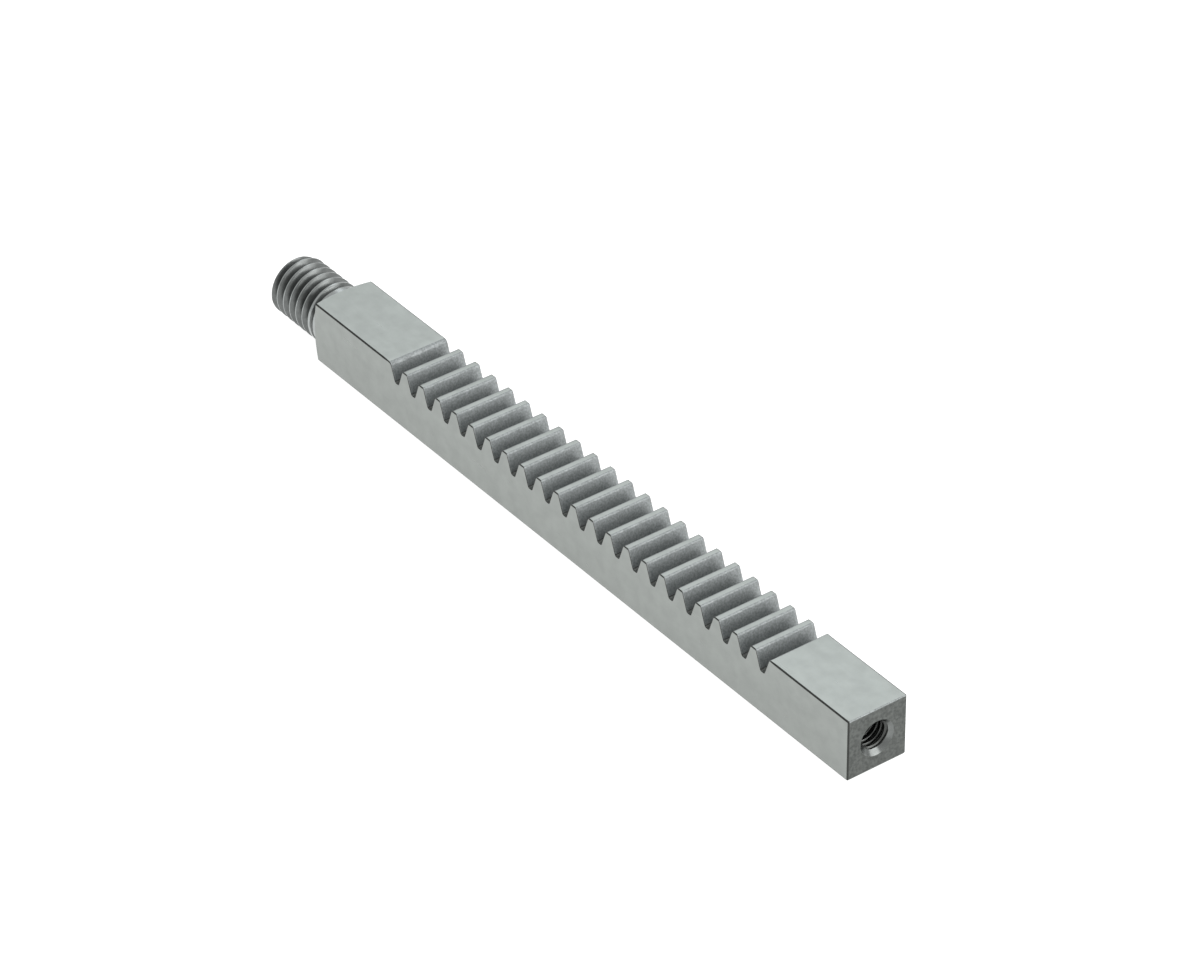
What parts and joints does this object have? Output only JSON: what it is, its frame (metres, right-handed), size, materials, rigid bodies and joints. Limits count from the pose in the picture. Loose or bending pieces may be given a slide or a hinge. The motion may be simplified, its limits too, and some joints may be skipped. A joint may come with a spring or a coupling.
{
  "type": "gear rack",
  "caption": "Square steel bar with straight gear teeth in its top face, a round threaded stud at one end and a countersunk tapped hole in the other",
  "frame": {"origin": "on the back face, under the stud's shoulder, on the bar's centre plane", "axes": "+X along the bar from the stud's shoulder to the tapped end, +Y across the bar, +Z out of the toothed face"},
  "size_m": [0.1344, 0.0098, 0.0098],
  "materials": {
    "steel": "ground and milled bare steel, satin"
  },
  "bodies": {
    "root": {"rack_bar": "steel"}
  },
  "joints": []
}
